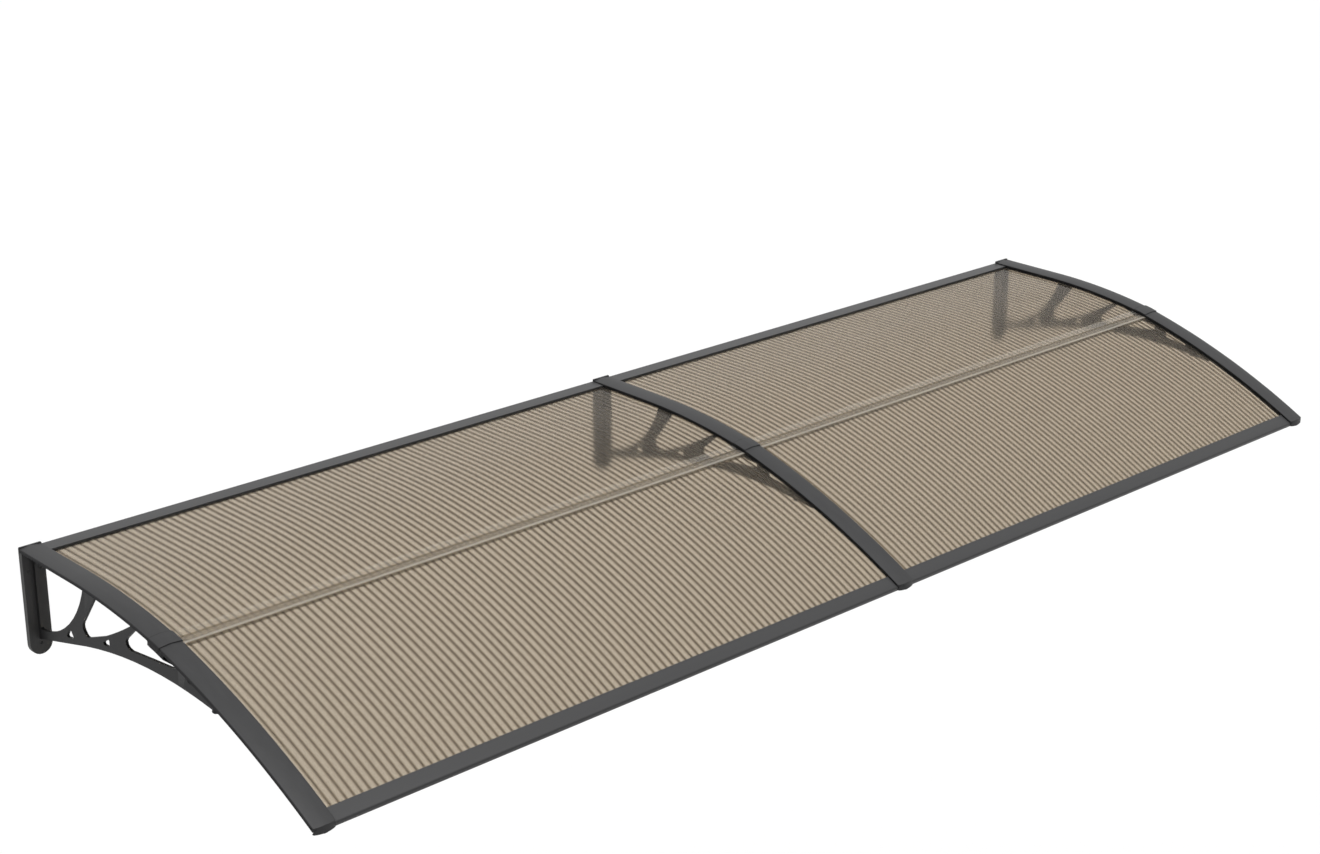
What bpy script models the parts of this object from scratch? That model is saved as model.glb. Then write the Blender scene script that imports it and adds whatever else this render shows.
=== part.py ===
# Two-bay door canopy: three moulded brackets with screwed cover strips, twin-wall sheets,
# seam strips and aluminium bars. Metres, +Z up, wall face at Y = 0, canopy reaching to -Y.
# The origin is the middle of the middle bracket's wall face. "Depth" is the distance from the
# wall; "normal" is the distance off the line of the sheets' top face, which bends outwards.

import bpy
import bmesh
import math
from mathutils import Matrix, Vector

# Overall sizes
bay_width = 1.476            # bracket centre to bracket centre
arm_width = 0.048            # across a cover strip's side walls
arm_height = 0.1175          # cover's shoulder at the wall, above the origin
clearance = 0.0003           # between pieces that seat on each other

# Line of the sheets' top face, from the wall outwards
shoulder = 0.0075            # cover's shoulder over the sheets
flat_run = 0.185             # straight run from the wall
flat_slope = 0.015           # its fall, in radians
rear_radius = 1.600          # bend of the rear half
front_radius = 1.976         # bend of the front half
seam_depth = 0.481           # middle of the seam strip
seam_kink = 0.039            # extra fall at the seam, in radians
front_depth = 0.951          # front bar's face
rear_facets = 3
front_facets = 4

# Twin-wall sheets
sheet_thickness = 0.0045
sheet_skin = 0.0007
sheet_rib = 0.0009
cell_pitch = 0.0333          # a pair of the sheet's fine cells
edge_play = 0.0015           # a sheet's outer edge to the back of its bar

# Seam strip, an H section
strip_half = 0.021
strip_wall = 0.0012
strip_web = 0.002

# Cover strips
cover_wall = 0.0025
crown_rise = 0.0025          # ridge over the shoulder
shoulder_chamfer = 0.001
spine_width = 0.008
lip_height = 0.0025          # upstand at the wall, over the shoulder
lip_thickness = 0.004
collar_back = 0.016          # collar, behind and before the seam's middle
collar_front = 0.017
collar_side = 0.0012         # collar proud of the side walls
collar_rise = 0.0018         # collar proud of the ridge
nose_gap = 0.0005            # nose to the front bar's face
nose_proud = 0.0013          # nose beside its corners, before the front bar's face
nose_bulge = 0.0032          # its middle, before its sides
nose_chamfer = 0.002
nose_drop = 0.004            # nose below the sheets' top face

# Bracket moulding
rail_width = 0.020
rail_thickness = 0.003
web_thickness = 0.006
plate_thickness = 0.012
plate_rib = 0.008            # web left standing on the plate's face
plate_round_height = -0.084  # centre of the plate's round lower end
pocket_depth = 0.0085
pocket_wall = 0.003
pad_half = 0.011             # solid pad round the origin
screw_pad_half = 0.011       # solid round a wall screw
shoe_thickness = 0.0027
shoe_start_back = 0.051      # widening of the rail starts, behind the seam's middle
shoe_full_back = 0.015       # full width
shoe_front = 0.0105
tongue_width = 0.014
tongue_thickness = 0.003
tongue_root_back = 0.011
post_front = 0.068           # third strut and tongue end, before the seam's middle
tail_start_front = 0.141
tail_end_front = 0.209
boss_radius = 0.0065
boss_drop = 0.002            # boss below the web's edge
cheek_wall = 0.0025          # closes the joint on an outer side

# Front arm
joint_gap = 0.0011           # shoe to front arm
flare_front = 0.031          # flare's full width ends, before the seam's middle
channel_front = 0.0238
channel_play = 0.0018        # channel to the front bar
channel_wall = 0.0025
channel_depth = 0.0047
rib_thickness = 0.002
rib_depth = 0.0040
rear_ribs = (0.119, 0.234)   # before the seam's middle
front_ribs = (0.196, 0.116, 0.081)   # behind the front bar's face

# Bar at the wall
wall_bar_reach = 0.037       # upper lip
wall_bar_lower_reach = 0.030
wall_bar_top = 0.0042        # thickness of the upper lip
wall_bar_lower = 0.002
wall_bar_back = 0.003
wall_bar_height = 0.0245

# Bar at the front edge
front_bar_reach = 0.0295     # upper lip
front_bar_lower_reach = 0.025
front_bar_top = 0.0032
front_bar_lower = 0.0025
front_bar_wall = 0.0040
front_bar_round = 0.004
front_bar_drip = 0.008       # drip edge below the sheets' top face

# Screws
screw_radius = 0.002
hole_play = 0.0003
head_radius = 0.004
head_height = 0.0024
screw_reach = 0.005          # tip over the sheets' top face
hole_reach = 0.0058
screw_sides = 8
rear_screws = (0.110, 0.300)
shoe_screw_back = 0.065      # behind the seam's middle
tongue_screw_front = 0.027   # before it
tail_screw_front = 0.164
front_screws = (0.158, 0.046)   # behind the front bar's face
wall_hole_radius = 0.0033
upper_hole_side = 0.013
upper_hole_height = 0.072

# Lower edge of the web: an arch, then a straight strut to the wall plate
arch_radius = 1.230
arch_top_front = 0.004       # before the seam's middle
arch_top_height = 0.005
arch_start = 0.150
strut_slope = 0.25
arch_steps = 12

# Openings of the web between its struts. A place on the web is a share of the seam's depth
# and a share of the height from the web's lower edge to the rail. Corners add a fillet radius,
# and the bends are points that an opening's lower edge runs through.
rear_window_rail = (0.0956, 0.4220)
rear_window_top = (0.0541, 0.9492, 0.0)
rear_window_plate = ((0.9034, 0.0), (0.1207, 0.006))
rear_window_bend = ((0.1040, 0.1055), (0.3243, 0.4069))
middle_window_rail = (0.5125, 0.8108)
middle_window_corners = ((0.5042, 0.9068, 0.020), (0.3805, 0.3161, 0.013), (0.4179, 0.1446, 0.011))
middle_window_bend = ((0.5509, 0.2687), (0.6902, 0.5786))
outer_window_rail = 0.8316
outer_window_corners = ((0.8150, 0.9237, 0.016), (0.6923, 0.3180, 0.010), (0.7526, 0.2243, 0.012),
                        (0.9148, 0.3248, 0.0), (1.0499, 0.5118, 0.0), (1.0759, 0.6240, 0.0))
outer_window_end = 1.0832
rear_eye = ((0.2848, 0.2387, 0.004), (0.2474, 0.0932, 0.003), (0.3139, 0.0773, 0.003))
outer_eye = ((0.5904, 0.2627, 0.003), (0.5239, 0.1240, 0.003), (0.5904, 0.0981, 0.003))
notch_rear_height = 0.4567   # floor of the web's open notch beside the third strut
notch_front_height = 0.5070  # and beside the tail
notch_edge = 0.003           # run of the notch's sloping ends

plastic_colour = (0.055, 0.055, 0.057, 1.0)
bar_colour = (0.075, 0.075, 0.078, 1.0)
sheet_colour = (0.38, 0.31, 0.23, 1.0)
strip_colour = (0.50, 0.44, 0.36, 1.0)
screw_colour = (0.55, 0.55, 0.56, 1.0)

arm_places = {"left": -bay_width, "middle": 0.0, "right": bay_width}
bar_sides = {"left": (1,), "middle": (-1, 1), "right": (-1,)}
bay_places = {"left": -bay_width / 2, "right": bay_width / 2}

# Derived depths
collar_start = seam_depth - collar_back
collar_end = seam_depth + collar_front
shoe_start = seam_depth - shoe_start_back
shoe_full = seam_depth - shoe_full_back
shoe_end = seam_depth + shoe_front
tongue_root = seam_depth - tongue_root_back
post_end = seam_depth + post_front
tail_start = seam_depth + tail_start_front
tail_end = seam_depth + tail_end_front
tongue_screw = seam_depth + tongue_screw_front
tail_screw = seam_depth + tail_screw_front
arch_top_depth = seam_depth + arch_top_front
front_bar_start = front_depth - front_bar_reach
front_bar_lower_start = front_depth - front_bar_lower_reach
sheet_end = front_depth - front_bar_wall - edge_play
nose_start = front_depth + nose_gap
nose_side = front_depth + nose_proud
nose_tip = nose_side + nose_bulge
line_end = nose_tip + nose_drop
flare_full = seam_depth + flare_front
channel_start = seam_depth + channel_front
channel_end = front_bar_start - channel_play
rib_places = [seam_depth + place for place in rear_ribs]
rib_places += [front_depth - place for place in front_ribs]

# Derived levels off the sheet line and half widths
half_arm = arm_width / 2
half_spine = spine_width / 2
half_rail = rail_width / 2
half_web = web_thickness / 2
half_tongue = tongue_width / 2
seat = -sheet_thickness - clearance
rail_bottom = seat - rail_thickness
strip_top = clearance + strip_wall
strip_bottom = seat - strip_wall
shoe_top = strip_bottom - clearance
shoe_bottom = shoe_top - shoe_thickness
tongue_top = shoe_bottom - clearance
tongue_bottom = tongue_top - tongue_thickness
tail_top = rail_bottom - clearance
channel_bottom = rail_bottom - channel_depth
strip_start = seam_depth - strip_half
strip_end = seam_depth + strip_half
strip_room_start = strip_start - joint_gap
flare_start = shoe_end + joint_gap
bay_half = bay_width / 2 - half_spine - clearance
wall_bar_bottom = wall_bar_top + clearance - wall_bar_height
overlap = 0.0005             # how far joined shapes enter each other
inset = 0.00005              # keeps joined shapes' faces out of one plane

for old in list(bpy.data.objects):
    bpy.data.objects.remove(old, do_unlink=True)

parts = bpy.data.collections.new("door_canopy")
cutters = bpy.data.collections.new("cutters")
bpy.context.scene.collection.children.link(parts)
bpy.context.scene.collection.children.link(cutters)


def make_material(name, colour, roughness, metallic):
    material = bpy.data.materials.new(name)
    material.use_nodes = True
    shader = material.node_tree.nodes["Principled BSDF"]
    shader.inputs["Base Color"].default_value = colour
    shader.inputs["Roughness"].default_value = roughness
    shader.inputs["Metallic"].default_value = metallic
    material.diffuse_color = colour
    return material


plastic = make_material("moulded_plastic", plastic_colour, 0.5, 0.0)
coated_bar = make_material("coated_bar", bar_colour, 0.4, 0.6)
sheet_plastic = make_material("tinted_sheet", sheet_colour, 0.3, 0.0)
strip_plastic = make_material("pale_strip", strip_colour, 0.35, 0.0)
screw_metal = make_material("screw_steel", screw_colour, 0.3, 1.0)


def line_points():
    """Corners of the sheet line as depth and height over the origin."""
    height = arm_height - shoulder
    points = [(0.0, height), (flat_run, height - flat_run * math.tan(flat_slope))]
    angle = flat_slope
    for radius, goal, facets in ((rear_radius, seam_depth, rear_facets),
                                 (front_radius, line_end, front_facets)):
        start_depth, start_height = points[-1]
        last = math.asin(math.sin(angle) + (goal - start_depth) / radius)
        for step in range(1, facets + 1):
            turn = angle + (last - angle) * step / facets
            depth = start_depth + radius * (math.sin(turn) - math.sin(angle))
            height = start_height - radius * (math.cos(angle) - math.cos(turn))
            points.append((depth, height))
        angle = last + seam_kink
    return points


sheet_line = line_points()


def chord_slope(index):
    (d0, h0), (d1, h1) = sheet_line[index], sheet_line[index + 1]
    return math.atan2(h0 - h1, d1 - d0)


def line_frame(depth):
    """Frame on the sheet line: X across, Y along the face's normal, Z back along the line."""
    inner_corners = sheet_line[1:-1]
    index = sum(1 for corner in inner_corners if corner[0] <= depth + 1e-7)
    start, height = sheet_line[index]
    slope = chord_slope(index)
    height -= (depth - start) * math.tan(slope)
    mitre = 1.0
    if index > 0 and abs(depth - start) < 1e-6:
        half_bend = (slope - chord_slope(index - 1)) / 2
        slope -= half_bend
        mitre = 1 / math.cos(half_bend)
    frame = Matrix.Identity(4)
    frame.col[1][:3] = (0.0, -math.sin(slope) * mitre, math.cos(slope) * mitre)
    frame.col[2][:3] = (0.0, math.cos(slope), math.sin(slope))
    frame.col[3][:3] = (0.0, -depth, height)
    return frame


def stations(start, end):
    """Depths from start to end, with the line's corners between them."""
    margin = 1e-4
    return [start] + [d for d, h in sheet_line if start + margin < d < end - margin] + [end]


def off_line(depth, normal):
    """Depth and height of the point at this distance off the line."""
    point = line_frame(depth) @ Vector((0.0, normal, 0.0))
    return (-point.y, point.z)


def fill_loops(mesh, loops):
    """Flat face set inside the first loop, with the other loops as holes in it."""
    edges = []
    for loop in loops:
        verts = [mesh.verts.new(point) for point in loop]
        for first, second in zip(verts, verts[1:] + verts[:1]):
            edges.append(mesh.edges.new((first, second)))
    result = bmesh.ops.triangle_fill(mesh, use_beauty=True, edges=edges)
    return [item for item in result["geom"] if isinstance(item, bmesh.types.BMFace)]


def push(mesh, faces, move, keep):
    """Extrudes the faces, moves the new copy and gives its faces; keep leaves the old ones."""
    result = bmesh.ops.extrude_face_region(mesh, geom=faces)
    if not keep:
        bmesh.ops.delete(mesh, geom=faces, context="FACES")
    for item in result["geom"]:
        if isinstance(item, bmesh.types.BMVert):
            item.co = move @ item.co
    return [item for item in result["geom"] if isinstance(item, bmesh.types.BMFace)]


def finish_mesh(mesh, name, material):
    """Object of a mesh: a part when it has a material, otherwise a cutter."""
    bmesh.ops.recalc_face_normals(mesh, faces=mesh.faces[:])
    data = bpy.data.meshes.new(name)
    mesh.to_mesh(data)
    mesh.free()
    piece = bpy.data.objects.new(name, data)
    if material:
        data.materials.append(material)
        parts.objects.link(piece)
    else:
        cutters.objects.link(piece)
        piece.hide_render = True
        piece.display_type = "WIRE"
    return piece


def sweep(name, loops, depths, material=None, widths=None):
    """Section loops of (across, normal) pushed along the sheet line through the depths."""
    frames = []
    for depth, width in zip(depths, widths or [1.0] * len(depths)):
        frames.append(line_frame(depth) @ Matrix.Diagonal((width, 1.0, 1.0, 1.0)))
    mesh = bmesh.new()
    faces = fill_loops(mesh, [[frames[0] @ Vector((x, n, 0.0)) for x, n in loop] for loop in loops])
    for first, second in zip(frames, frames[1:]):
        faces = push(mesh, faces, second @ first.inverted(), first is frames[0])
    return finish_mesh(mesh, name, material)


def prism(name, loops, vector, material=None):
    """Flat loops of points pushed by a vector."""
    mesh = bmesh.new()
    faces = fill_loops(mesh, [[Vector(point) for point in loop] for loop in loops])
    push(mesh, faces, Matrix.Translation(vector), True)
    return finish_mesh(mesh, name, material)


def across(name, outlines, half, material=None):
    """Outlines of (depth, height), the first one outermost, from -half to half in X."""
    loops = [[(-half, -depth, height) for depth, height in outline] for outline in outlines]
    return prism(name, loops, (2 * half, 0.0, 0.0), material)


def box(name, low, high):
    low, high = Vector(low), Vector(high)
    mesh = bmesh.new()
    bmesh.ops.create_cube(mesh, size=1.0)
    bmesh.ops.scale(mesh, vec=high - low, verts=mesh.verts[:])
    bmesh.ops.translate(mesh, vec=(low + high) / 2, verts=mesh.verts[:])
    return finish_mesh(mesh, name, None)


def cylinder(name, radius, start, end, sides):
    """Closed cylinder from one point to another."""
    start, end = Vector(start), Vector(end)
    axis = end - start
    turn = axis.to_track_quat("Z", "Y").to_matrix().to_4x4()
    mesh = bmesh.new()
    bmesh.ops.create_cone(mesh, cap_ends=True, segments=sides, radius1=radius, radius2=radius,
                          depth=axis.length, matrix=Matrix.Translation((start + end) / 2) @ turn)
    return finish_mesh(mesh, name, None)


def combine(piece, operation, others):
    for other in others:
        modifier = piece.modifiers.new(other.name, "BOOLEAN")
        modifier.operation = operation
        modifier.solver = "EXACT"
        modifier.object = other


def join(piece, *others):
    combine(piece, "UNION", others)


def cut(piece, *others):
    combine(piece, "DIFFERENCE", others)


def block(x, low, high):
    """Section from -x to x between two normals."""
    return span(-x, x, low, high)


def span(left, right, low, high):
    return [(left, low), (right, low), (right, high), (left, high)]


def arc(first, middle, last, steps):
    """Points on the circle through three points, ends included."""
    (ax, ay), (bx, by), (cx, cy) = first, middle, last
    double = 2 * (ax * (by - cy) + bx * (cy - ay) + cx * (ay - by))
    a2, b2, c2 = ax * ax + ay * ay, bx * bx + by * by, cx * cx + cy * cy
    x = (a2 * (by - cy) + b2 * (cy - ay) + c2 * (ay - by)) / double
    y = (a2 * (cx - bx) + b2 * (ax - cx) + c2 * (bx - ax)) / double
    radius = math.hypot(ax - x, ay - y)
    start = math.atan2(ay - y, ax - x)
    turn = math.atan2(cy - y, cx - x) - start
    turn = (turn + math.pi) % (2 * math.pi) - math.pi
    angles = [start + turn * step / steps for step in range(steps + 1)]
    return [(x + radius * math.cos(a), y + radius * math.sin(a)) for a in angles]


def rounded(corners, steps):
    """Polygon of (x, y, radius) corners with a fillet of that radius at each."""
    points = []
    for index, (x, y, radius) in enumerate(corners):
        if radius == 0.0:
            points.append((x, y))
            continue
        here = Vector((x, y))
        before = (Vector(corners[index - 1][:2]) - here).normalized()
        after = (Vector(corners[(index + 1) % len(corners)][:2]) - here).normalized()
        half = before.angle(after) / 2
        inward = (before + after).normalized()
        start = here + before * radius / math.tan(half)
        end = here + after * radius / math.tan(half)
        middle = here + inward * (radius / math.sin(half) - radius)
        points += arc(start, middle, end, steps)
    return points


def arch_height(depth):
    """Height of the web's lower edge."""
    if depth < arch_start:
        return arch_height(arch_start) - (arch_start - depth) * strut_slope
    return arch_top_height - (depth - arch_top_depth) ** 2 / (2 * arch_radius)


def boss_seat():
    """Level of the boss's lower face: under the point where its axis leaves the web."""
    level = tail_top
    for step in range(20):
        depth, height = off_line(tail_screw, level)
        level -= height - arch_height(depth)
    return level - boss_drop


def screw_rows():
    """Depth, level of the head's seat and covered half of each screw in an arm."""
    rear = (*rear_screws, seam_depth - shoe_screw_back)
    rows = [(depth, rail_bottom, "rear") for depth in rear]
    rows.append((tongue_screw, tongue_bottom, "joint"))
    rows.append((tail_screw, boss_seat(), "joint"))
    return rows + [(front_depth - back, rail_bottom, "front") for back in front_screws]


def screw_holes(side, halves):
    """Cutters for the screws that hold these halves."""
    holes = []
    for depth, level, half in screw_rows():
        if half in halves:
            frame = line_frame(depth)
            name = "hole_%s_%s_%d" % (side, halves[0], round(depth * 1000))
            low = frame @ Vector((0.0, level - head_radius, 0.0))
            high = frame @ Vector((0.0, hole_reach, 0.0))
            holes.append(cylinder(name, screw_radius + hole_play, low, high, screw_sides))
    return holes


def web_outline():
    """Side view of the web: rail side from the wall outwards, arch side back again."""
    in_rail = rail_bottom + rail_thickness / 2
    in_shoe = shoe_bottom + shoe_thickness / 2
    in_tongue = tongue_bottom + tongue_thickness / 2
    in_plate = plate_thickness / 2
    outline = [(in_plate, arch_height(in_plate))]
    outline += [off_line(depth, in_rail) for depth in stations(in_plate, shoe_full - 5 * notch_edge)]
    outline += [off_line(depth, in_shoe)
                for depth in (shoe_full - 3 * notch_edge, tongue_root + notch_edge)]
    outline += [off_line(depth, in_tongue)
                for depth in (tongue_root + 2 * notch_edge, seam_depth, post_end)]
    outline.append(web_place((post_end + notch_edge) / seam_depth, notch_rear_height))
    outline.append(web_place((tail_start - 3 * notch_edge) / seam_depth, notch_front_height))
    outline += [off_line(depth, tail_top) for depth in stations(tail_start, tail_end)]
    outline.append((tail_end, arch_height(tail_end) + notch_edge * 2))
    first = tail_end - notch_edge * 2
    for step in range(arch_steps + 1):
        depth = first + (arch_start - first) * step / arch_steps
        outline.append((depth, arch_height(depth)))
    return outline


def web_place(along, up):
    """Depth and height of a place given as shares of the seam's depth and the web's height."""
    depth = along * seam_depth
    low, high = arch_height(depth), off_line(depth, rail_bottom)[1]
    return (depth, low + (high - low) * up)


def web_corners(corners):
    return [(*web_place(along, up), radius) for along, up, radius in corners]


def window_bend(places, front, level, steps):
    """Lower edge of an opening: a bend through the places to the rail at this depth."""
    first, middle = [web_place(*place) for place in places]
    return [(*point, 0.0) for point in arc(first, middle, off_line(front, level), steps)]


def window_rail(back, front, level):
    """Upper edge of an opening, along the rail from the front to the back."""
    return [(*off_line(depth, level), 0.0) for depth in reversed(stations(back, front)[:-1])]


def web_windows():
    """Openings of the web between its struts, and the two small eyes where struts meet."""
    level = rail_bottom + rail_thickness / 4
    in_tongue = tongue_bottom + tongue_thickness / 4
    in_shoe = shoe_bottom + shoe_thickness / 4
    face = (plate_thickness + plate_rib) / seam_depth
    back, front = [share * seam_depth for share in rear_window_rail]
    rear = web_corners([rear_window_top] + [(face, up, radius) for up, radius in rear_window_plate])
    rear += window_bend(rear_window_bend, front, level, 9) + window_rail(back, front, level)
    back, front = [share * seam_depth for share in middle_window_rail]
    middle = web_corners(middle_window_corners)
    middle += window_bend(middle_window_bend, front, level, 5) + window_rail(back, front, level)
    outer = web_corners(outer_window_corners)
    for depth, normal in ((outer_window_end * seam_depth, in_tongue), (seam_depth, in_tongue),
                          (tongue_root - notch_edge, in_tongue),
                          (tongue_root - 2 * notch_edge, in_shoe),
                          (shoe_start + 2 * notch_edge, in_shoe), (shoe_start, level)):
        outer.append((*off_line(depth, normal), 0.0))
    outer += window_rail(outer_window_rail * seam_depth, shoe_start, level)
    openings = (rear, middle, outer, web_corners(rear_eye), web_corners(outer_eye))
    return [rounded(corners, 3) for corners in openings]


def wall_plate(side):
    """Flat plate with a round lower end, hollowed from the wall side round solid pads."""
    top = arm_height - shoulder - clearance
    loop = [(half_arm, 0.0, top), (-half_arm, 0.0, top)]
    for step in range(arch_steps + 1):
        angle = math.pi * (1 + step / arch_steps)
        height = plate_round_height + half_arm * math.sin(angle)
        loop.append((half_arm * math.cos(angle), 0.0, height))
    plate = prism("bracket_" + side, [loop], (0.0, -plate_thickness, 0.0), plastic)
    rows = ((pad_half, upper_hole_height - screw_pad_half),
            (plate_round_height + screw_pad_half, -pad_half))
    for row, (low, high) in enumerate(rows):
        for sign in (-1, 1):
            left, right = sorted((sign * pocket_wall / 2, sign * (half_arm - pocket_wall)))
            pocket = box("pocket_%s_%d_%d" % (side, row, sign), (left, -pocket_depth, low),
                         (right, plate_thickness, high))
            cut(plate, pocket)
    return plate


def add_cheek(piece, name, side, start, end):
    """Upright wall on an arm's open side, from the widened rail up to the cover."""
    if len(bar_sides[side]) == 1:
        outer = -bar_sides[side][0]
        left, right = sorted((outer * (half_arm - cheek_wall), outer * (half_arm - inset)))
        join(piece, sweep(name, [span(left, right, shoe_bottom + overlap, 0.0)],
                          stations(start + inset, end - inset)))


def bracket(side):
    """Wall plate, web, rail, shoe and tongue in one moulding."""
    piece = wall_plate(side)
    flare = half_rail / half_arm
    rail = sweep("rail_" + side, [block(half_rail, rail_bottom, seat)],
                 stations(wall_bar_lower_reach + 2 * clearance, strip_room_start))
    shoe = sweep("shoe_" + side, [block(half_arm, shoe_bottom, shoe_top)],
                 [shoe_start, shoe_full] + stations(shoe_full, shoe_end)[1:], None,
                 [flare, 1.0, 1.0, 1.0])
    root_end = shoe_end - overlap
    below = [off_line(depth, tongue_bottom) for depth in stations(tongue_root, post_end)]
    above = [(post_end, tongue_top), (root_end, tongue_top), (root_end, shoe_bottom + overlap),
             (seam_depth, shoe_bottom + overlap), (tongue_root, shoe_bottom + overlap)]
    side_view = below + [off_line(depth, n) for depth, n in above]
    tongue = across("tongue_" + side, [side_view], half_tongue)
    web = across("web_" + side, [web_outline()] + web_windows(), half_web)
    tail = line_frame(tail_screw)
    boss_top = tail @ Vector((0.0, tail_top - rail_thickness / 2, 0.0))
    boss_low = tail @ Vector((0.0, boss_seat(), 0.0))
    boss = cylinder("boss_" + side, boss_radius, boss_top, boss_low, 12)
    join(web, boss)
    join(piece, rail, web, shoe, tongue)
    add_cheek(piece, "cheek_" + side, side, strip_start, shoe_end)
    for sign in bar_sides[side]:
        left, right = sorted((sign * half_spine, sign * (half_arm + cover_wall)))
        notch = sweep("notch_%s_%d" % (side, sign),
                      [span(left, right, wall_bar_bottom - clearance, shoulder)],
                      [-plate_thickness, wall_bar_lower_reach + clearance])
        cut(piece, notch)
    slot = sweep("spine_slot_" + side, [block(half_spine + clearance, seat, shoulder)],
                 [-plate_thickness, plate_thickness + plate_rib])
    cut(piece, slot)
    for sign in (-1, 1):
        place = (sign * upper_hole_side, 0.0, upper_hole_height)
        cut(piece, wall_hole("upper_hole_%s_%d" % (side, sign), place))
    cut(piece, wall_hole("lower_hole_" + side, (0.0, 0.0, plate_round_height)))
    cut(piece, *screw_holes(side, ("rear", "joint")))


def wall_hole(name, place):
    through = Vector((0.0, 2 * plate_thickness + plate_rib, 0.0))
    return cylinder(name, wall_hole_radius, Vector(place) - through, Vector(place) + through, 10)


def front_arm(side):
    """Inverted channel that goes on from the shoe, with a flared root and cross ribs."""
    inner = half_rail - channel_wall
    channel = [(-half_rail, seat), (-half_rail, channel_bottom), (-inner, channel_bottom),
               (-inner, rail_bottom), (inner, rail_bottom), (inner, channel_bottom),
               (half_rail, channel_bottom), (half_rail, seat)]
    piece = sweep("front_arm_" + side, [channel], stations(channel_start, channel_end), plastic)
    flare = sweep("flare_" + side, [block(half_arm, shoe_bottom, shoe_top)],
                  [flare_start, flare_full, post_end - overlap], None,
                  [1.0, 1.0, (half_rail + overlap) / half_arm])
    join(piece, flare)
    for place in rib_places:
        rib = sweep("rib_%s_%d" % (side, round(place * 1000)),
                    [block(inner + overlap, rail_bottom - rib_depth, rail_bottom + overlap)],
                    [place - rib_thickness / 2, place + rib_thickness / 2])
        join(piece, rib)
    add_cheek(piece, "front_cheek_" + side, side, flare_start, flare_full)
    cut(piece, *screw_holes(side, ("front", "joint")))


def shell_section(extra_side, extra_rise, wall, foot):
    """Strip in section: side walls, chamfered shoulders, a low ridge and its inner faces."""
    x, top = half_arm + extra_side, shoulder + extra_rise
    under, inside = half_arm - wall, shoulder - wall
    right = [(x, foot), (x, top - shoulder_chamfer), (x - shoulder_chamfer, top)]
    left = [(-px, n) for px, n in reversed(right)]
    outer = right + [(0.0, top + crown_rise)] + left
    return outer, [(-under, foot), (-under, inside)], [(under, inside), (under, foot)]


def cover_section():
    """Cover strip with the spine that takes the screws."""
    outer, left, right = shell_section(0.0, 0.0, cover_wall, clearance)
    wide, low = left[1]
    roof = low + crown_rise * (1 - half_spine / -wide)
    spine = [(-half_spine, roof), (-half_spine, -sheet_thickness),
             (half_spine, -sheet_thickness), (half_spine, roof)]
    return outer + left + spine + right


def side_rooms(side, label, level, start, end):
    """Cutters that lift the side walls over whatever runs in from a bay."""
    rooms = []
    for sign in bar_sides[side]:
        left, right = sorted((sign * (half_arm - 2 * cover_wall), sign * (half_arm + cover_wall)))
        rooms.append(sweep("%s_%s_%d" % (label, side, sign),
                           [span(left, right, -clearance, level + clearance)],
                           stations(start - clearance, end + clearance)))
    return rooms


def rear_cover(side):
    piece = sweep("rear_cover_" + side, [cover_section()],
                  stations(clearance, collar_start - clearance), plastic)
    top, wide, low = shoulder + lip_height, half_arm - inset, shoulder - shoulder_chamfer * 2
    lip = [(wide, low), (wide, top - shoulder_chamfer), (wide - shoulder_chamfer, top),
           (shoulder_chamfer - wide, top), (-wide, top - shoulder_chamfer), (-wide, low)]
    upstand = sweep("lip_" + side, [lip], [clearance + inset, clearance + lip_thickness])
    cut(piece, *side_rooms(side, "wall_bar_room", wall_bar_top + clearance, -clearance,
                           wall_bar_reach))
    cut(piece, *side_rooms(side, "rear_strip_room", strip_top, strip_start, seam_depth))
    join(piece, upstand)
    cut(piece, *screw_holes(side, ("rear",)))


def front_cover(side):
    piece = sweep("front_cover_" + side, [cover_section()], stations(collar_start, line_end), plastic)
    outer, left, right = shell_section(collar_side, collar_rise, cover_wall / 2, clearance + inset)
    inner_ridge = (0.0, left[1][1] + crown_rise)
    collar = sweep("collar_" + side, [outer + left + [inner_ridge] + right],
                   stations(collar_start + inset, collar_end))
    wide, low = half_arm - clearance, shoulder - shoulder_chamfer * 2
    nose = sweep("nose_" + side,
                 [[(-wide, -nose_drop), (wide, -nose_drop), (wide, low),
                   (0.0, shoulder + crown_rise / 2), (-wide, low)]], [nose_start, line_end - overlap])
    join(piece, nose)
    flat = half_arm - nose_chamfer
    plan = arc((flat, nose_side), (0.0, nose_tip), (-flat, nose_side), 8)
    beside, back = half_arm + nose_chamfer, nose_side - 2 * nose_chamfer
    away = line_end + 4 * nose_chamfer
    plan += [(-beside, back), (-beside, away), (beside, away), (beside, back)]
    trim = prism("nose_trim_" + side, [[(x, -depth, -arm_height * 2) for x, depth in plan]],
                 (0.0, 0.0, 4 * arm_height))
    cut(piece, trim)
    join(piece, collar)
    cut(piece, *side_rooms(side, "front_strip_room", strip_top, strip_start, strip_end))
    cut(piece, *side_rooms(side, "front_bar_room", front_bar_top + clearance, front_bar_start,
                           nose_start))
    cut(piece, *screw_holes(side, ("front", "joint")))


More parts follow.
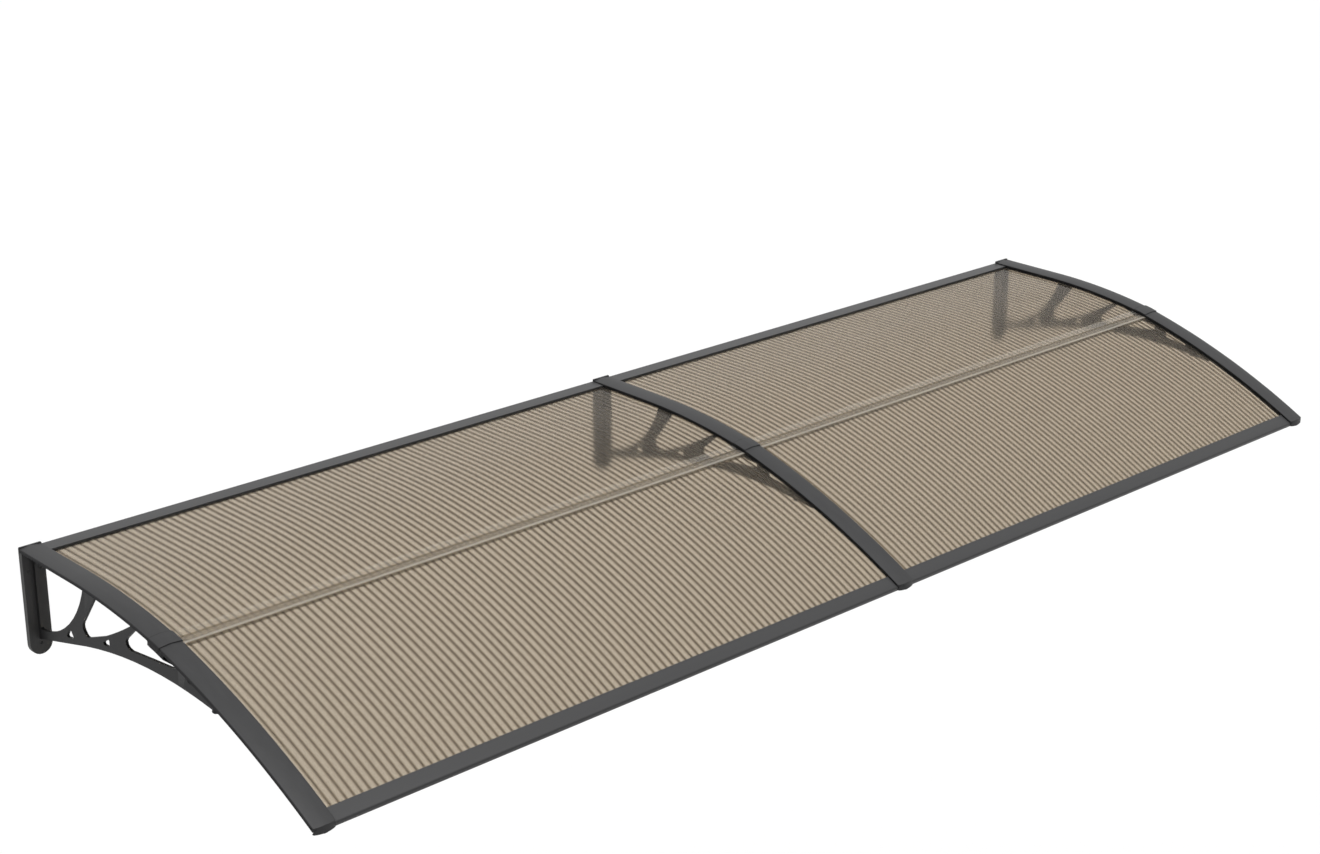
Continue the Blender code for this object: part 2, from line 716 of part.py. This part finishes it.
def screws(side):
    """Pan-head screws driven upwards into the cover's spine."""
    for number, (depth, level, half) in enumerate(screw_rows(), start=1):
        head_seat = level - clearance
        reach = screw_reach - head_seat
        profile = [(0.0, reach), (screw_radius, reach - screw_radius), (screw_radius, 0.0),
                   (head_radius, 0.0), (head_radius * 0.9, -head_height * 0.7), (0.0, -head_height)]
        data = bpy.data.meshes.new("screw_%s_%d" % (side, number))
        edges = [(i, i + 1) for i in range(len(profile) - 1)]
        data.from_pydata([(x, 0.0, z) for x, z in profile], edges, [])
        data.materials.append(screw_metal)
        piece = bpy.data.objects.new(data.name, data)
        parts.objects.link(piece)
        turn = piece.modifiers.new("turned", "SCREW")
        turn.axis = "Z"
        turn.steps = screw_sides
        turn.render_steps = screw_sides
        turn.use_merge_vertices = True
        turn.merge_threshold = 0.0001
        frame = line_frame(depth)
        piece.location = frame @ Vector((0.0, head_seat, 0.0))
        piece.rotation_euler.x = math.atan2(-frame.col[1][1], frame.col[1][2])


def arm(side):
    """One arm about X = 0, hung on an empty at its place."""
    known = set(bpy.data.objects)
    bracket(side)
    front_arm(side)
    rear_cover(side)
    front_cover(side)
    screws(side)
    made = [piece for piece in bpy.data.objects if piece not in known]
    holder = bpy.data.objects.new("arm_" + side, None)
    holder.location.x = arm_places[side]
    parts.objects.link(holder)
    for piece in made:
        piece.parent = holder


def sheet(name, start, end):
    """Twin-wall sheet: two skins with ribs between, open at both ends."""
    cells = round(2 * bay_half / cell_pitch)
    pitch = (2 * bay_half - sheet_rib) / cells
    loops = [block(bay_half, -sheet_thickness, 0.0)]
    for cell in range(cells):
        left = -bay_half + sheet_rib + cell * pitch
        loops.append(span(left, left + pitch - sheet_rib, sheet_skin - sheet_thickness, -sheet_skin))
    return sweep(name, loops, stations(start, end), sheet_plastic)


def seam_strip(name):
    """H section that takes the ends of both sheets."""
    half, web = strip_half, strip_web / 2
    right = [(half, strip_top), (half, clearance), (web, clearance), (web, seat),
             (half, seat), (half, strip_bottom)]
    outline = [(0.0, strip_top)] + right + [(0.0, strip_bottom)]
    outline += [(-away, normal) for away, normal in reversed(right)]
    places = [off_line(seam_depth + away, n) for away, n in outline]
    return across(name, [places], bay_half, strip_plastic)


def wall_bar(name):
    """Channel against the wall that takes the sheet's rear edge."""
    top = wall_bar_top + clearance
    outline = [(0.0, top), (wall_bar_reach, top), (wall_bar_reach, clearance),
               (wall_bar_back, clearance), (wall_bar_back, seat),
               (wall_bar_lower_reach, seat), (wall_bar_lower_reach, seat - wall_bar_lower),
               (wall_bar_back, seat - wall_bar_lower), (wall_bar_back, wall_bar_bottom),
               (0.0, wall_bar_bottom)]
    lift = line_frame(0.0).col[3][2]
    tilt = math.tan(flat_slope)
    return across(name, [[(d, lift + n - d * tilt) for d, n in outline]], bay_half, coated_bar)


def front_bar(name):
    """Channel with a rounded nose and a drip edge that takes the sheet's front edge."""
    top, r = front_bar_top, front_bar_round
    under, inner = seat - front_bar_lower, front_depth - front_bar_wall
    nose = rounded([(front_depth, top, r), (front_depth, -front_bar_drip, 0.0),
                    (front_bar_start, top, 0.0)], 4)[:5]
    outline = [(front_bar_start, clearance), (front_bar_start, top - clearance)]
    outline += nose
    outline += [(front_depth, -front_bar_drip), (inner, -front_bar_drip), (inner, under),
                (front_bar_lower_start, under), (front_bar_lower_start, seat), (inner, seat),
                (inner, clearance)]
    return across(name, [[off_line(depth, n) for depth, n in outline]], bay_half, coated_bar)


for arm_side in arm_places:
    arm(arm_side)

for bay, place in bay_places.items():
    rear_start = wall_bar_back + edge_play
    web_side = strip_web / 2 + clearance
    for piece in (sheet("rear_sheet_" + bay, rear_start, seam_depth - web_side),
                  sheet("front_sheet_" + bay, seam_depth + web_side, sheet_end),
                  seam_strip("seam_strip_" + bay),
                  wall_bar("wall_bar_" + bay),
                  front_bar("front_bar_" + bay)):
        piece.location.x = place
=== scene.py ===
import math

import bpy
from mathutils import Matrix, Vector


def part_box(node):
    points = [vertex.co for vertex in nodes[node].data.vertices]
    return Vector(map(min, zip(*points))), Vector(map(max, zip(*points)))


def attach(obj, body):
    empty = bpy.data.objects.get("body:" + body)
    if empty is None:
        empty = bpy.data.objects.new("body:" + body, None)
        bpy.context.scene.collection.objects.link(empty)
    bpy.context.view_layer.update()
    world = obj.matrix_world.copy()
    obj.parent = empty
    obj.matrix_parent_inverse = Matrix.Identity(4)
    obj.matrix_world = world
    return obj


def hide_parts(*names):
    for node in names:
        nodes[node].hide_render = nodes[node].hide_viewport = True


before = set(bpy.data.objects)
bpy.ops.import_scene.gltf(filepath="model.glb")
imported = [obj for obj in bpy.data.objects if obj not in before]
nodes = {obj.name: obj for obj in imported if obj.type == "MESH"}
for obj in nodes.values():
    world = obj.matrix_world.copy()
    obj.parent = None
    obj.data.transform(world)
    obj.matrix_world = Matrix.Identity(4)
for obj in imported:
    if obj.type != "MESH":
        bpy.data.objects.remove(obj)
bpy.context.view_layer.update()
print("frame loaded:", len(nodes), "nodes")


# Camera, matched to the photograph
cameraSetup = {
    "place": (-3.41605, -3.83528, 1.84287),
    "turn": 43.249,              # degrees, from straight at the wall to the right
    "dip": 19.787,               # degrees below level
    "lens": 63.217,
    "sensor": 36,
}


def makeCamera(setup):
    bpy.ops.object.camera_add(location=setup["place"])
    camera = bpy.context.object
    camera.rotation_euler = (math.radians(90 - setup["dip"]), 0, math.radians(-setup["turn"]))
    camera.data.lens = setup["lens"]
    camera.data.sensor_width = setup["sensor"]
    bpy.context.scene.camera = camera


makeCamera(cameraSetup)
bpy.context.scene.view_settings.view_transform = "Standard"
print("camera set")


# Studio
studioSetup = {
    "floorHeight": -2.2,         # the ground is about this far below a canopy
    "floorSize": 60,
    "floorColour": 0.80,         # as seen
    "floorGlow": 0.22,           # lifts the seen floor to white
    "floorBounce": 0.18,         # as it throws light back
    "skyLight": 0.34,            # soft light from all round
    "lampHeight": 4,
    "lampTilt": (12, 8),         # degrees off straight down, towards the front and the right
    "lampSpread": 35,            # degrees, for soft shadows
    "lampPower": 2.1,
}


# Math node on a socket and a second socket or number
def calculate(tree, operation, first, second=0.0, clamp=False):
    node = tree.nodes.new("ShaderNodeMath")
    node.operation = operation
    node.use_clamp = clamp
    tree.links.new(first, node.inputs[0])
    if isinstance(second, bpy.types.NodeSocket):
        tree.links.new(second, node.inputs[1])
    else:
        node.inputs[1].default_value = second
    return node.outputs[0]


# 1 on camera, glossy and transmission rays, 0 on all others
def seenRays(tree):
    path = tree.nodes.new("ShaderNodeLightPath")
    seen = calculate(tree, "ADD", path.outputs["Is Camera Ray"], path.outputs["Is Glossy Ray"])
    return calculate(tree, "ADD", seen, path.outputs["Is Transmission Ray"], clamp=True)


def makeStudio(setup):
    world = bpy.data.worlds.new("studioSky")
    bpy.context.scene.world = world
    world.use_nodes = True
    tree = world.node_tree
    sky = tree.nodes["Background"]
    white = tree.nodes.new("ShaderNodeBackground")
    mix = tree.nodes.new("ShaderNodeMixShader")
    sky.inputs["Color"].default_value = (1, 1, 1, 1)
    sky.inputs["Strength"].default_value = setup["skyLight"]
    white.inputs["Color"].default_value = (1, 1, 1, 1)
    white.inputs["Strength"].default_value = 1
    tree.links.new(seenRays(tree), mix.inputs[0])
    tree.links.new(sky.outputs[0], mix.inputs[1])
    tree.links.new(white.outputs[0], mix.inputs[2])
    tree.links.new(mix.outputs[0], tree.nodes["World Output"].inputs["Surface"])

    bpy.ops.mesh.primitive_plane_add(size=setup["floorSize"], location=(0, 0, setup["floorHeight"]))
    floor = bpy.context.object
    floor.name = "floor"
    paint = bpy.data.materials.new("studioFloor")
    paint.use_nodes = True
    tree = paint.node_tree
    shader = tree.nodes["Principled BSDF"]
    shader.inputs["Roughness"].default_value = 1
    shader.inputs["Specular IOR Level"].default_value = 0
    shader.inputs["Emission Color"].default_value = (1, 1, 1, 1)
    seen = seenRays(tree)
    colour = tree.nodes.new("ShaderNodeMapRange")
    colour.inputs["To Min"].default_value = setup["floorBounce"]
    colour.inputs["To Max"].default_value = setup["floorColour"]
    tree.links.new(seen, colour.inputs["Value"])
    tree.links.new(colour.outputs[0], shader.inputs["Base Color"])
    tree.links.new(calculate(tree, "MULTIPLY", seen, setup["floorGlow"]), shader.inputs["Emission Strength"])
    floor.data.materials.append(paint)

    bpy.ops.object.light_add(type="SUN", location=(0, 0, setup["lampHeight"]))
    lamp = bpy.context.object
    tiltFront, tiltRight = setup["lampTilt"]
    lamp.rotation_euler = (math.radians(tiltFront), math.radians(tiltRight), 0)
    lamp.data.angle = math.radians(setup["lampSpread"])
    lamp.data.energy = setup["lampPower"]


makeStudio(studioSetup)
print("studio set")


# Line of the sheets' top face: the solids follow it in chords, the looks follow its true bend
bendLine = {
    "wallHeight": 0.110,
    "flatRun": 0.185,
    "flatSlope": 0.015,
    "arcs": ((1.600, 0.481, 3), (1.976, 0.9595, 4)),   # radius, end depth, chords in the solids
    "kink": 0.039,
    "fullBend": -0.012,          # what lies above this height from the line follows the bend in full
    "noBend": -0.050,            # and what lies below this one not at all
    "step": 0.014,               # length of a piece's slices
}


def flatHeight(line, depth):
    return line["wallHeight"] - depth * math.tan(line["flatSlope"])


# Each arc of the line, with the depth, height and slope angle at which it starts
def arcPieces(line):
    start, height, angle = line["flatRun"], flatHeight(line, line["flatRun"]), line["flatSlope"]
    pieces = []
    for radius, end, chords in line["arcs"]:
        last = math.asin(math.sin(angle) + (end - start) / radius)
        pieces.append({"start": start, "height": height, "angle": angle, "last": last,
                       "radius": radius, "chords": chords})
        height -= radius * (math.cos(angle) - math.cos(last))
        start = end
        angle = last + line["kink"]
    return pieces


arcs = arcPieces(bendLine)


# Depth and height of the point of an arc at a slope angle
def arcPoint(arc, turn):
    return (arc["start"] + arc["radius"] * (math.sin(turn) - math.sin(arc["angle"])),
            arc["height"] - arc["radius"] * (math.cos(arc["angle"]) - math.cos(turn)))


# Height and slope angle of the true bend at a depth
def trueHeight(depth):
    if depth < bendLine["flatRun"]:
        return flatHeight(bendLine, depth), bendLine["flatSlope"]
    arc = arcs[0] if depth < arcs[1]["start"] else arcs[1]
    turn = math.asin(math.sin(arc["angle"]) + (depth - arc["start"]) / arc["radius"])
    return arcPoint(arc, turn)[1], turn


# Corners of the chords, from the wall to the front
def chordCorners():
    corners = [(0.0, flatHeight(bendLine, 0.0)), (bendLine["flatRun"], arcs[0]["height"])]
    for arc in arcs:
        for step in range(1, arc["chords"] + 1):
            corners.append(arcPoint(arc, arc["angle"] + (arc["last"] - arc["angle"]) * step / arc["chords"]))
    return corners


corners = chordCorners()


def chordHeight(depth):
    for (startDepth, startHeight), (endDepth, endHeight) in zip(corners, corners[1:]):
        if depth <= endDepth:
            break
    return startHeight + (endHeight - startHeight) * (depth - startDepth) / (endDepth - startDepth)


# Moves a mesh from the chords to the true bend
def bendMesh(mesh):
    full, none = bendLine["fullBend"], bendLine["noBend"]
    for vert in mesh.vertices:
        depth = min(max(-vert.co.y, 0.0), bendLine["arcs"][1][1])
        chord = chordHeight(depth)
        share = min(max((vert.co.z - chord - none) / (full - none), 0.0), 1.0)
        vert.co.z += (trueHeight(depth)[0] - chord) * share * share * (3 - 2 * share)


def pickOnly(piece):
    if bpy.context.object and bpy.context.object.mode != "OBJECT":
        bpy.ops.object.mode_set(mode="OBJECT")
    bpy.ops.object.select_all(action="DESELECT")
    piece.select_set(True)
    bpy.context.view_layer.objects.active = piece


copySetup = {
    "merge": 0.000002,
    "flat": math.radians(0.4),   # faces that turn less than this become one
    "smooth": math.radians(28),  # edges that turn less than this are shaded round
}


# Copy of a solid with clean faces, sliced across and moved to the true bend
def bentCopy(nodeName, sliced=True):
    mesh = nodes[nodeName].data.copy()
    piece = bpy.data.objects.new(nodeName + "_look", mesh)
    bpy.context.scene.collection.objects.link(piece)
    mesh.materials.clear()
    pickOnly(piece)
    bpy.ops.object.mode_set(mode="EDIT")
    bpy.ops.mesh.select_all(action="SELECT")
    bpy.ops.mesh.remove_doubles(threshold=copySetup["merge"])
    bpy.ops.mesh.dissolve_limited(angle_limit=copySetup["flat"])
    if sliced:
        low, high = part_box(nodeName)
        depth = max(bendLine["flatRun"], -high.y)
        while depth < -low.y:
            bpy.ops.mesh.select_all(action="SELECT")
            bpy.ops.mesh.bisect(plane_co=(0, -depth, 0), plane_no=(0, 1, 0))
            depth += bendLine["step"]
    bpy.ops.object.mode_set(mode="OBJECT")
    bendMesh(mesh)
    pickOnly(piece)
    bpy.ops.object.shade_smooth_by_angle(angle=copySetup["smooth"])
    return piece


# Finishes
finishSetup = {
    "cover": {"colour": (0.031, 0.031, 0.032), "shift": 0.22, "drift": (60, 2.5, 60), "grain": 900,
              "bump": 0.06, "rough": 0.50, "gloss": 0.30},
    # web: the brackets' and front arms' own dark grey, set darker than the covers' as painted shade on their
    # sides
    "web": {"colour": (0.026, 0.026, 0.027), "shift": 0.15, "drift": (9, 9, 9), "grain": 900,
            "bump": 0.06, "rough": 0.50, "gloss": 0.20},
    # plate: a lighter copy of the brackets' finish, painted light on the faces of the wall plates
    "plate": {"colour": (0.075, 0.075, 0.075), "shift": 0.10, "drift": (60, 60, 2.5), "grain": 900,
              "bump": 0.06, "rough": 0.50, "gloss": 0.30},
    # side: a darker copy of the covers' finish, painted shade on the faces that look sideways
    "side": {"colour": (0.016, 0.016, 0.017), "shift": 0.10, "drift": (60, 2.5, 60), "grain": 900,
             "bump": 0.06, "rough": 0.60, "gloss": 0.15},
    "bar": {"colour": (0.051, 0.051, 0.052), "shift": 0.08, "drift": (2.5, 60, 60), "grain": 1600,
            "bump": 0.04, "rough": 0.42, "gloss": 0.25},
    "screw": {"colour": (0.55, 0.55, 0.56), "streak": 700, "rough": (0.256, 0.416)},
}
mouldedSetup = {
    "detail": 3,                 # of the slow colour drift
    "bumpDepth": 0.0002,
}
sheetFinish = {
    "ribShare": 0.30,            # share of the pitch that reads dark
    "soft": 0.10,
    "field": (0.662, 0.616, 0.545),
    "rib": (0.452, 0.400, 0.335),
    "through": 0.965,            # share of the light that passes
    "rough": 0.12,
    "ior": 1.10,
    "glint": (0, 0, 0, 1),       # no reflection where one looks straight at it
}
stripFinish = {
    "rough": 0.06,
    "ior": 1.10,
    "glint": (0, 0, 0, 1),
    "stops": (                   # depth, colour, share of the light that passes
        (0.4600, (0.950, 0.935, 0.900), 0.96),
        (0.4780, (0.950, 0.935, 0.900), 0.96),
        (0.4795, (0.560, 0.500, 0.410), 0.93),   # over and under the web, which has no sheet to tint it
        (0.4825, (0.560, 0.500, 0.410), 0.93),
        (0.4840, (0.830, 0.795, 0.730), 0.92),
        (0.4945, (0.720, 0.680, 0.610), 0.88),
        (0.4960, (0.600, 0.570, 0.510), 0.55),
        (0.4990, (0.600, 0.570, 0.510), 0.55),
        (0.5005, (0.820, 0.770, 0.680), 0.95),
        (0.5020, (0.820, 0.770, 0.680), 0.95),
    ),
}


def newFinish(name):
    finish = bpy.data.materials.new(name)
    finish.use_nodes = True
    return finish, finish.node_tree, finish.node_tree.nodes["Principled BSDF"]


# Object coordinate along one axis
def alongAxis(tree, axis):
    spot = tree.nodes.new("ShaderNodeTexCoord")
    split = tree.nodes.new("ShaderNodeSeparateXYZ")
    tree.links.new(spot.outputs["Object"], split.inputs["Vector"])
    return split.outputs[axis]


# Smooth change from 0 to 1 between two values
def fade(tree, source, start, end):
    edge = tree.nodes.new("ShaderNodeMapRange")
    edge.interpolation_type = "SMOOTHSTEP"
    edge.inputs["From Min"].default_value = start
    edge.inputs["From Max"].default_value = end
    tree.links.new(source, edge.inputs["Value"])
    return edge.outputs[0]


# Mix of two colours, each a socket or a plain colour
def blend(tree, share, first, second):
    mix = tree.nodes.new("ShaderNodeMix")
    mix.data_type = "RGBA"       # its colours are sockets 6 and 7, the result is socket 2
    tree.links.new(share, mix.inputs[0])
    for socket, colour in ((mix.inputs[6], first), (mix.inputs[7], second)):
        if isinstance(colour, tuple):
            socket.default_value = (*colour, 1)
        else:
            tree.links.new(colour, socket)
    return mix.outputs[2]


# Dark finish with slow colour drift and a fine grain
def mouldedFinish(name, setup):
    finish, tree, shader = newFinish(name)
    spot = tree.nodes.new("ShaderNodeTexCoord")
    place = tree.nodes.new("ShaderNodeMapping")
    place.inputs["Scale"].default_value = setup["drift"]
    drift = tree.nodes.new("ShaderNodeTexNoise")
    drift.inputs["Scale"].default_value = 1
    drift.inputs["Detail"].default_value = mouldedSetup["detail"]
    tree.links.new(spot.outputs["Object"], place.inputs["Vector"])
    tree.links.new(place.outputs["Vector"], drift.inputs["Vector"])
    dark, light = (tuple(part * level for part in setup["colour"])
                   for level in (1 - setup["shift"], 1 + setup["shift"]))
    tree.links.new(blend(tree, drift.outputs["Fac"], dark, light), shader.inputs["Base Color"])
    grain = tree.nodes.new("ShaderNodeTexNoise")
    grain.inputs["Scale"].default_value = setup["grain"]
    bump = tree.nodes.new("ShaderNodeBump")
    bump.inputs["Strength"].default_value = setup["bump"]
    bump.inputs["Distance"].default_value = mouldedSetup["bumpDepth"]
    tree.links.new(spot.outputs["Object"], grain.inputs["Vector"])
    tree.links.new(grain.outputs["Fac"], bump.inputs["Height"])
    tree.links.new(bump.outputs["Normal"], shader.inputs["Normal"])
    shader.inputs["Roughness"].default_value = setup["rough"]
    shader.inputs["Specular IOR Level"].default_value = setup["gloss"]
    return finish


def screwFinish(name, setup):
    finish, tree, shader = newFinish(name)
    spot = tree.nodes.new("ShaderNodeTexCoord")
    streak = tree.nodes.new("ShaderNodeTexNoise")
    streak.inputs["Scale"].default_value = setup["streak"]
    level = tree.nodes.new("ShaderNodeMapRange")
    level.inputs["To Min"].default_value, level.inputs["To Max"].default_value = setup["rough"]
    tree.links.new(spot.outputs["Object"], streak.inputs["Vector"])
    tree.links.new(streak.outputs["Fac"], level.inputs["Value"])
    tree.links.new(level.outputs[0], shader.inputs["Roughness"])
    shader.inputs["Base Color"].default_value = (*setup["colour"], 1)
    shader.inputs["Metallic"].default_value = 1
    return finish


# Finish that lets most of the light through
def clearShader(name, setup):
    finish, tree, shader = newFinish(name)
    shader.inputs["Roughness"].default_value = setup["rough"]
    shader.inputs["IOR"].default_value = setup["ior"]
    shader.inputs["Specular Tint"].default_value = setup["glint"]
    return finish, tree, shader


# Tinted sheet with dark lines at its ribs, counted from the sheet's edge
def sheetMaterial(name, setup, start, pitch):
    finish, tree, shader = clearShader(name, setup)
    place = tree.nodes.new("ShaderNodeMapRange")
    place.clamp = False
    place.inputs["From Min"].default_value = start
    place.inputs["From Max"].default_value = start + pitch
    tree.links.new(alongAxis(tree, "X"), place.inputs["Value"])
    wave = calculate(tree, "PINGPONG", place.outputs[0], 0.5)
    half, soft = setup["ribShare"] / 2, setup["soft"] / 2
    ribs = blend(tree, fade(tree, wave, half - soft, half + soft), setup["rib"], setup["field"])
    tree.links.new(ribs, shader.inputs["Base Color"])
    shader.inputs["Transmission Weight"].default_value = setup["through"]
    return finish


# Clear strip that turns milky towards its front edge, by depth
def stripMaterial(name, setup):
    finish, tree, shader = clearShader(name, setup)
    first, last = setup["stops"][0][0], setup["stops"][-1][0]
    place = tree.nodes.new("ShaderNodeMapRange")
    place.inputs["From Min"].default_value = -first
    place.inputs["From Max"].default_value = -last
    tree.links.new(alongAxis(tree, "Y"), place.inputs["Value"])
    tint = tree.nodes.new("ShaderNodeValToRGB")
    through = tree.nodes.new("ShaderNodeValToRGB")
    for ramp in (tint, through):
        tree.links.new(place.outputs[0], ramp.inputs[0])
        for depth, colour, share in setup["stops"][1:-1]:
            ramp.color_ramp.elements.new((depth - first) / (last - first))
    for number, (depth, colour, share) in enumerate(setup["stops"]):
        tint.color_ramp.elements[number].color = (*colour, 1)
        through.color_ramp.elements[number].color = (share, share, share, 1)
    tree.links.new(tint.outputs["Color"], shader.inputs["Base Color"])
    tree.links.new(through.outputs["Color"], shader.inputs["Transmission Weight"])
    return finish


# Painted shadow: a dark line across the covers, where the collar starts
def shadowLineAcross(finish, setup):
    tree = finish.node_tree
    target = tree.nodes["Principled BSDF"].inputs["Base Color"]
    plain = target.links[0].from_socket
    away = calculate(tree, "ADD", alongAxis(tree, "Y"), setup["depth"])
    share = fade(tree, calculate(tree, "ABSOLUTE", away), *setup["fade"])
    tree.links.new(blend(tree, share, plain, setup["colour"]), target)


# painted shadow of the collar on the covers
collarShadowLine = {
    "depth": 0.4645,
    "fade": (0.0028, 0.0012),    # from its middle: where the line starts and where it is full
    "colour": (0.014, 0.014, 0.014),
}
# the brackets' own dark grey, partly painted shade: set darker than the covers' finish
webGreyAndShadeFinish = mouldedFinish("mouldedWebAndShade", finishSetup["web"])
coverFinish = mouldedFinish("mouldedCover", finishSetup["cover"])
# painted shadow line across the covers at the collar
shadowLineAcross(coverFinish, collarShadowLine)
# painted light: the lighter finish that the brackets' wall plates get
plateLightFinish = mouldedFinish("paintedPlateLight", finishSetup["plate"])
# painted shade: the darker finish that the side faces of covers and arms get
sideShadeFinish = mouldedFinish("paintedSideShade", finishSetup["side"])
barFinish = mouldedFinish("coatedBar", finishSetup["bar"])
steelFinish = screwFinish("screwSteel", finishSetup["screw"])
clearFinish = stripMaterial("paleStrip", stripFinish)


def dress(piece, finish, nodeName):
    piece.data.materials.clear()
    piece.data.materials.append(finish)
    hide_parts(nodeName)
    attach(piece, "root")


# Gives the faces that pass a test a second finish
def someFaces(piece, finish, test):
    piece.data.materials.append(finish)
    pickOnly(piece)
    bpy.ops.object.mode_set(mode="EDIT")
    bpy.ops.mesh.select_all(action="DESELECT")
    bpy.ops.object.mode_set(mode="OBJECT")
    for face in piece.data.polygons:
        face.select = test(face)
    bpy.ops.object.mode_set(mode="EDIT")
    piece.active_material_index = 1
    bpy.ops.object.material_slot_assign()
    bpy.ops.object.mode_set(mode="OBJECT")


armSetup = {
    "screws": 7,
    "sideLeast": 0.9,            # sideways share of a normal from which a face counts as a side
    "plateDepth": 0.022,         # faces of a bracket up to this depth belong to its plate
}
for side in ("left", "middle", "right"):
    for kind in ("bracket", "front_arm", "rear_cover", "front_cover"):
        piece = bentCopy(kind + "_" + side)
        finish = coverFinish if "cover" in kind else webGreyAndShadeFinish
        dress(piece, finish, kind + "_" + side)
        if kind == "bracket":
            # the wall plate's faces take the painted-light finish
            someFaces(piece, plateLightFinish, lambda face: -face.center.y < armSetup["plateDepth"])
        else:
            # faces that look sideways take the painted-shade finish
            someFaces(piece, sideShadeFinish, lambda face: abs(face.normal.x) > armSetup["sideLeast"])
    for number in range(1, armSetup["screws"] + 1):
        name = "screw_%s_%d" % (side, number)
        dress(bentCopy(name, False), steelFinish, name)
print("arms done")


plugSetup = {
    "half": 0.0215,              # half its width
    "behind": 0.0001,            # behind the nose's face
    "bulge": 0.0032,             # its middle, before its sides
    "foot": 0.0047,              # its lower edge, over the nose's lowest point
    "height": 0.0084,
    "thickness": 0.0010,
    "steps": 16,
}


# Curved plate behind a nose's face, where the cover's own hollow opens at the two corners
def nosePlug(side, setup):
    low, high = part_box("front_cover_" + side)
    middle = ((low.x + high.x) / 2, low.y + setup["behind"], low.z + setup["foot"] + setup["height"] / 2)
    bpy.ops.mesh.primitive_grid_add(size=1, x_subdivisions=setup["steps"], y_subdivisions=1,
                                    location=middle, rotation=(math.radians(90), 0, 0))
    plug = bpy.context.object
    plug.name = "nose_plug_" + side
    plug.scale = (2 * setup["half"], setup["height"], 1)
    bpy.ops.object.transform_apply(location=True, rotation=True, scale=True)
    for vert in plug.data.vertices:
        vert.co.y += setup["bulge"] * ((vert.co.x - middle[0]) / setup["half"]) ** 2
    wall = plug.modifiers.new("wall", "SOLIDIFY")
    wall.thickness = setup["thickness"]
    wall.offset = -1
    bpy.ops.object.modifier_apply(modifier=wall.name)
    plug.data.materials.append(webGreyAndShadeFinish)
    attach(plug, "root")


for side in ("left", "middle", "right"):
    nosePlug(side, plugSetup)
print("plugs done")

for bay in ("left", "right"):
    for kind in ("wall_bar_", "front_bar_"):
        dress(bentCopy(kind + bay), barFinish, kind + bay)
    dress(bentCopy("seam_strip_" + bay), clearFinish, "seam_strip_" + bay)
print("bars and strips done")


# Twin-wall sheets at their real rib pitch
sheetSetup = {
    "cells": 88,
    "thickness": 0.0045,
    "skin": 0.0007,
    "rib": 0.0009,
    "slice": 0.022,              # length of its slices, at most
    "merge": 0.00001,
}


# One cell's end is drawn, repeated across, pulled along the sheet and laid on the bend
def twinWallSheet(nodeName, finish, setup):
    low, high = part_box(nodeName)
    start, end = -high.y, -low.y
    pitch = (high.x - low.x) / setup["cells"]
    xPlaces = (0.0, setup["rib"] / 2, pitch - setup["rib"] / 2, pitch)
    zPlaces = (-setup["thickness"], setup["skin"] - setup["thickness"], -setup["skin"], 0.0)
    parts = len(xPlaces) - 1
    bpy.ops.mesh.primitive_grid_add(x_subdivisions=parts, y_subdivisions=parts, size=1,
                                    rotation=(math.radians(90), 0, 0))
    piece = bpy.context.object
    piece.name = nodeName + "_look"
    bpy.ops.object.transform_apply(location=True, rotation=True, scale=True)
    for vert in piece.data.vertices:
        column, row = round((vert.co.x + 0.5) * parts), round((vert.co.z + 0.5) * parts)
        vert.co = (low.x + xPlaces[column], -start, zPlaces[row])
    pickOnly(piece)
    bpy.ops.object.mode_set(mode="EDIT")
    bpy.ops.mesh.select_all(action="DESELECT")
    bpy.ops.object.mode_set(mode="OBJECT")
    for face in piece.data.polygons:
        middle = face.center
        face.select = (xPlaces[1] < middle.x - low.x < xPlaces[2]) and (zPlaces[1] < middle.z < zPlaces[2])
    bpy.ops.object.mode_set(mode="EDIT")
    bpy.ops.mesh.delete(type="FACE")
    bpy.ops.object.mode_set(mode="OBJECT")
    copies = piece.modifiers.new("cells", "ARRAY")
    copies.count = setup["cells"]
    copies.use_relative_offset = False
    copies.use_constant_offset = True
    copies.constant_offset_displace = (pitch, 0, 0)
    copies.use_merge_vertices = True
    copies.merge_threshold = setup["merge"]
    bpy.ops.object.modifier_apply(modifier=copies.name)
    slices = math.ceil((end - start) / setup["slice"])
    bpy.ops.object.mode_set(mode="EDIT")
    bpy.ops.mesh.select_all(action="SELECT")
    for step in range(slices):
        bpy.ops.mesh.extrude_region_move(
            TRANSFORM_OT_translate={"value": (0, -(end - start) / slices, 0)})
    bpy.ops.mesh.select_all(action="SELECT")
    bpy.ops.mesh.normals_make_consistent(inside=False)
    bpy.ops.object.mode_set(mode="OBJECT")
    for vert in piece.data.vertices:
        height, slope = trueHeight(-vert.co.y)
        above = vert.co.z        # over the sheet's top face, so at most 0
        vert.co = (vert.co.x, vert.co.y - above * math.sin(slope), height + above * math.cos(slope))
    bpy.ops.object.shade_smooth_by_angle(angle=copySetup["smooth"])
    dress(piece, finish, nodeName)


for bay in ("left", "right"):
    low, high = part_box("rear_sheet_" + bay)
    tint = sheetMaterial("tintedSheet_" + bay, sheetFinish, low.x, (high.x - low.x) / sheetSetup["cells"])
    twinWallSheet("rear_sheet_" + bay, tint, sheetSetup)
    twinWallSheet("front_sheet_" + bay, tint, sheetSetup)
print("sheets done")


def plain(bounds):
    return [[float(part) for part in corner] for corner in bounds]
